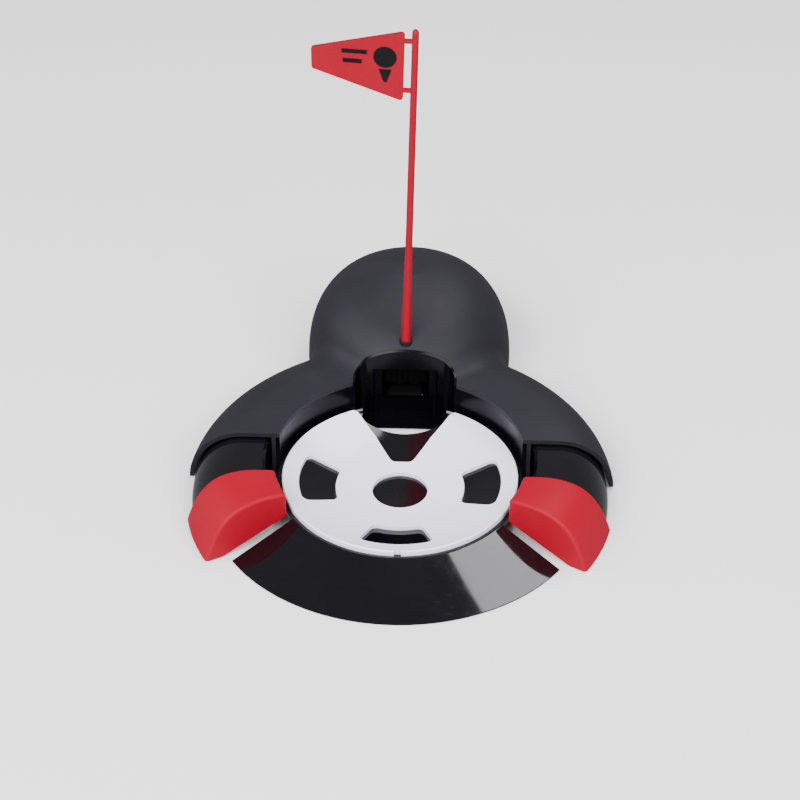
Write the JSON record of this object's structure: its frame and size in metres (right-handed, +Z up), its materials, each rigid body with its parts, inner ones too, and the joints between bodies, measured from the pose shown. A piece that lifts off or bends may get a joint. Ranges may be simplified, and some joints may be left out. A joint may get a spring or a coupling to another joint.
{
  "type": "putting cup",
  "caption": "Round dished putting target with a front ramp, two curved gate arms, a domed ball-return kicker and a small flagstick.",
  "frame": {"origin": "on the floor at the axis of the round cup plate", "axes": "+Y towards the rear dome, +X to the right seen by the golfer, +Z up"},
  "size_m": [0.21, 0.27, 0.2201],
  "materials": {
    "housing_black": "satin",
    "gloss_black": "gloss",
    "plate_white": "gloss",
    "cap_red": "soft satin",
    "flag_red": "satin",
    "dark_plastic": "matte",
    "steel": "satin",
    "zinc": "bright",
    "copper": "enamelled",
    "board_green": "satin",
    "capacitor_sleeve": "satin",
    "cell_wrap": "gloss",
    "rubber_black": "matte"
  },
  "bodies": {
    "base": {"top_housing": "housing_black", "inner_liner": "gloss_black", "base_cover": "dark_plastic", "ramp_tray": "gloss_black", "cup_plate": "plate_white", "flag_grommet": "rubber_black", "solenoid_frame": "zinc", "solenoid_bobbin": "dark_plastic", "solenoid_coil": "copper", "return_spring": "steel", "trigger_pin": "steel", "micro_switch": "dark_plastic", "circuit_board": "board_green", "capacitor": "capacitor_sleeve", "battery_cells": "cell_wrap", "battery_springs": "steel", "battery_plates": "zinc", "door_pins": "steel", "power_switch_body": "dark_plastic", "housing_screws": "zinc", "tray_screws": "zinc", "board_screws": "zinc", "solenoid_screws": "zinc", "rubber_feet": "rubber_black"},
    "wing_right": {"wing_right": "gloss_black", "wing_cap_right": "cap_red"},
    "wing_left": {"wing_left": "gloss_black", "wing_cap_left": "cap_red"},
    "flagstick": {"flagstick": "flag_red"},
    "kicker": {"kicker_head": "dark_plastic", "kicker_plunger": "steel"},
    "trigger": {"trigger_lever": "dark_plastic"},
    "switch_button": {"switch_button": "cap_red"},
    "battery_door": {"battery_door": "dark_plastic"},
    "power_slider": {"power_switch_slider": "plate_white"}
  },
  "joints": [
    {"name": "wing_right_swing", "type": "hinge", "parent": "base", "child": "wing_right", "pos_m": [0, 0, 0], "axis": [0, 0, 1], "range_deg": [-15, 16]},
    {"name": "wing_left_swing", "type": "hinge", "parent": "base", "child": "wing_left", "pos_m": [0, 0, 0], "axis": [0, 0, -1], "range_deg": [-15, 16]},
    {"name": "flagstick_lift", "type": "slide", "parent": "base", "child": "flagstick", "axis": [0.0244, 0, 0.9997], "range_m": [0, 0.035]},
    {"name": "kicker_stroke", "type": "slide", "parent": "base", "child": "kicker", "axis": [0, -1, 0], "range_m": [0, 0.018], "stiffness_N_per_m": 40, "springref_m": -0.004, "deforming": ["return_spring"]},
    {"name": "trigger_press", "type": "hinge", "parent": "base", "child": "trigger", "pos_m": [0, 0.074, 0.0076], "axis": [-1, 0, 0], "range_deg": [0, 12], "stiffness_Nm_per_rad": 0.002, "springref_deg": -17.19},
    {"name": "switch_press", "type": "slide", "parent": "base", "child": "switch_button", "axis": [0, 1, 0], "range_m": [0, 0.0012]},
    {"name": "battery_door_hinge", "type": "hinge", "parent": "base", "child": "battery_door", "pos_m": [0, 0.16, 0.0027], "axis": [1, 0, 0], "range_deg": [0, 85]},
    {"name": "power_slide", "type": "slide", "parent": "base", "child": "power_slider", "axis": [0, 1, 0], "range_m": [0, 0.004]}
  ],
  "couplings": [
    {"joint": "switch_press", "follows": "trigger_press", "m_per_rad": 0.0052}
  ]
}
